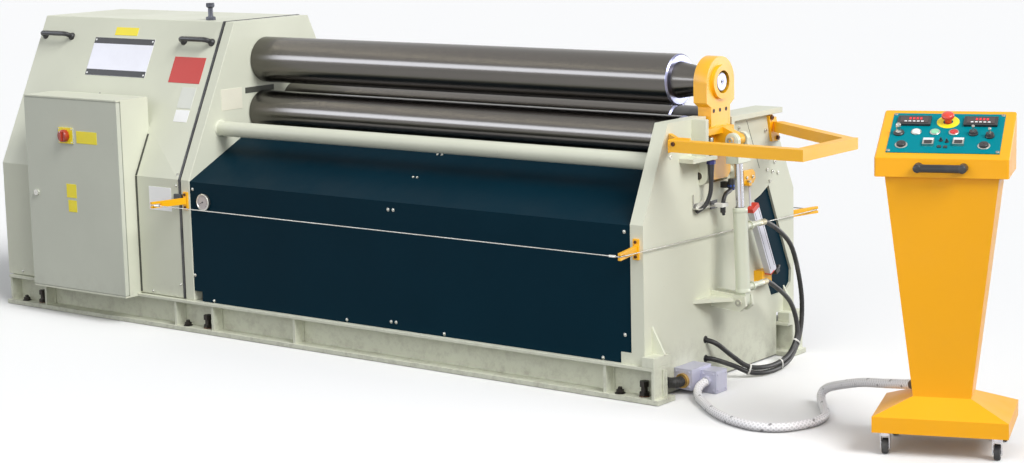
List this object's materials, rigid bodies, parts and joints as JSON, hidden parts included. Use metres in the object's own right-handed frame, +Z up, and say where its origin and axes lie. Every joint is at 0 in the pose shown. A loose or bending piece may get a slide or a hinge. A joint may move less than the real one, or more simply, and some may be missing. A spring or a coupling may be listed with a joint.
{
  "type": "plate rolling machine",
  "caption": "Hydraulic plate bending roll with stacked rolls, drop-end yoke and cylinder, side drive housing with cabinet, and a wheeled control console.",
  "frame": {"origin": "on the floor under the middle of the machine base, on the lower face of its central cross member", "axes": "+X along the rolls towards the drop end and the console, +Y to the back of the machine, +Z up"},
  "size_m": [4.8233, 1.3847, 1.329],
  "materials": {
    "machine_paint": "satin",
    "door_paint": "satin",
    "navy_paint": "satin",
    "amber_paint": "satin",
    "roll_steel": "turned",
    "dark_steel": "plain",
    "chrome": "polished",
    "black_rubber": "matt",
    "black_plastic": "matt",
    "red_plastic": "gloss",
    "aluminium": "satin",
    "braided_steel": "braided",
    "teal_paint": "satin"
  },
  "bodies": {
    "machine": {"base_front_beam": "machine_paint", "base_rear_beam": "machine_paint", "base_cross_members": "machine_paint", "levelling_bolts": "dark_steel", "left_frame": "machine_paint", "right_frame": "machine_paint", "right_frame_ribs": "machine_paint", "lower_roll_bearings": "machine_paint", "tie_tubes": "machine_paint", "hinge_bracket": "machine_paint", "cylinder_bracket": "machine_paint", "front_cover": "navy_paint", "rear_cover": "navy_paint", "side_cover": "navy_paint", "drive_housing": "machine_paint", "housing_seal": "black_rubber", "lid_handles": "black_plastic", "oil_breather": "dark_steel", "pressure_gauge": "black_plastic", "cabinet_body": "machine_paint", "guard_rail": "amber_paint", "trip_wire_brackets": "amber_paint", "trip_wire": "chrome", "position_scale": "aluminium", "scale_brackets": "amber_paint", "proximity_switches": "black_plastic", "junction_box": "aluminium", "base_conduit": "black_rubber", "hose_upper": "black_rubber", "hose_lower": "black_rubber", "console_conduit": "braided_steel", "console_stand": "amber_paint", "console_head": "amber_paint", "control_panel": "teal_paint", "console_handle": "black_plastic", "panel_controls": "black_plastic"},
    "top_roll": {"top_roll": "roll_steel"},
    "front_roll": {"front_roll": "roll_steel"},
    "rear_roll": {"rear_roll": "roll_steel"},
    "yoke": {"yoke": "amber_paint", "yoke_lever": "amber_paint"},
    "barrel": {"cylinder_barrel": "machine_paint"},
    "rod": {"cylinder_rod": "chrome", "rod_clevis": "machine_paint"},
    "door": {"cabinet_door": "door_paint"},
    "switch_knob": {"main_switch": "red_plastic"},
    "stop_button": {"emergency_stop": "red_plastic"},
    "fork_1": {"caster_fork_1": "chrome"},
    "wheel_1": {"caster_wheel_1": "black_rubber"},
    "fork_2": {"caster_fork_2": "chrome"},
    "wheel_2": {"caster_wheel_2": "black_rubber"},
    "fork_3": {"caster_fork_3": "chrome"},
    "wheel_3": {"caster_wheel_3": "black_rubber"},
    "fork_4": {"caster_fork_4": "chrome"},
    "wheel_4": {"caster_wheel_4": "black_rubber"}
  },
  "joints": [
    {"name": "top_roll_spin", "type": "hinge", "parent": "machine", "child": "top_roll", "pos_m": [0, 0, 1.089], "axis": [1, 0, 0], "continuous": true},
    {"name": "front_roll_spin", "type": "hinge", "parent": "machine", "child": "front_roll", "pos_m": [0, -0.027, 0.873], "axis": [1, 0, 0], "continuous": true},
    {"name": "rear_roll_spin", "type": "hinge", "parent": "machine", "child": "rear_roll", "pos_m": [0, 0.172, 0.893], "axis": [1, 0, 0], "continuous": true},
    {"name": "yoke_drop", "type": "hinge", "parent": "machine", "child": "yoke", "pos_m": [1.68, 0, 0.76], "axis": [0, 1, 0], "range_deg": [0, 45]},
    {"name": "cylinder_swing", "type": "hinge", "parent": "machine", "child": "barrel", "pos_m": [1.801, -0.02, 0.298], "axis": [0, 1, 0], "range_deg": [-0.5, 8.5]},
    {"name": "rod_slide", "type": "slide", "parent": "barrel", "child": "rod", "axis": [-0.0339, 0, 0.9994], "range_m": [-0.11, 0.002]},
    {"name": "cabinet_door_hinge", "type": "hinge", "parent": "machine", "child": "door", "pos_m": [-0.901, -0.554, 0.536], "axis": [0, 0, 1], "range_deg": [0, 100]},
    {"name": "main_switch_turn", "type": "hinge", "parent": "door", "child": "switch_knob", "pos_m": [-1.21, -0.562, 0.79], "axis": [0, -1, 0], "range_deg": [0, 90]},
    {"name": "emergency_stop_press", "type": "slide", "parent": "machine", "child": "stop_button", "axis": [-0.154, 0.423, -0.8929], "range_m": [0, 0.003], "stiffness_N_per_m": 2000, "springref_m": -0.001},
    {"name": "caster_swivel_1", "type": "hinge", "parent": "machine", "child": "fork_1", "pos_m": [2.69799, -0.61619, 0.07], "axis": [0, 0, 1], "continuous": true},
    {"name": "wheel_spin_1", "type": "hinge", "parent": "fork_1", "child": "wheel_1", "pos_m": [2.69457, -0.6068, 0.025], "axis": [0.9397, 0.342, 0], "continuous": true},
    {"name": "caster_swivel_2", "type": "hinge", "parent": "machine", "child": "fork_2", "pos_m": [3.02688, -0.49649, 0.07], "axis": [0, 0, 1], "continuous": true},
    {"name": "wheel_spin_2", "type": "hinge", "parent": "fork_2", "child": "wheel_2", "pos_m": [3.02346, -0.48709, 0.025], "axis": [0.9397, 0.342, 0], "continuous": true},
    {"name": "caster_swivel_3", "type": "hinge", "parent": "machine", "child": "fork_3", "pos_m": [2.94001, -0.25781, 0.07], "axis": [0, 0, 1], "continuous": true},
    {"name": "wheel_spin_3", "type": "hinge", "parent": "fork_3", "child": "wheel_3", "pos_m": [2.94343, -0.2672, 0.025], "axis": [0.9397, 0.342, 0], "continuous": true},
    {"name": "caster_swivel_4", "type": "hinge", "parent": "machine", "child": "fork_4", "pos_m": [2.61112, -0.37751, 0.07], "axis": [0, 0, 1], "continuous": true},
    {"name": "wheel_spin_4", "type": "hinge", "parent": "fork_4", "child": "wheel_4", "pos_m": [2.61454, -0.38691, 0.025], "axis": [0.9397, 0.342, 0], "continuous": true}
  ],
  "couplings": [
    {"joint": "cylinder_swing", "follows": "yoke_drop", "ratio": 0.16391},
    {"joint": "rod_slide", "follows": "yoke_drop", "m_per_rad": -0.13282}
  ]
}
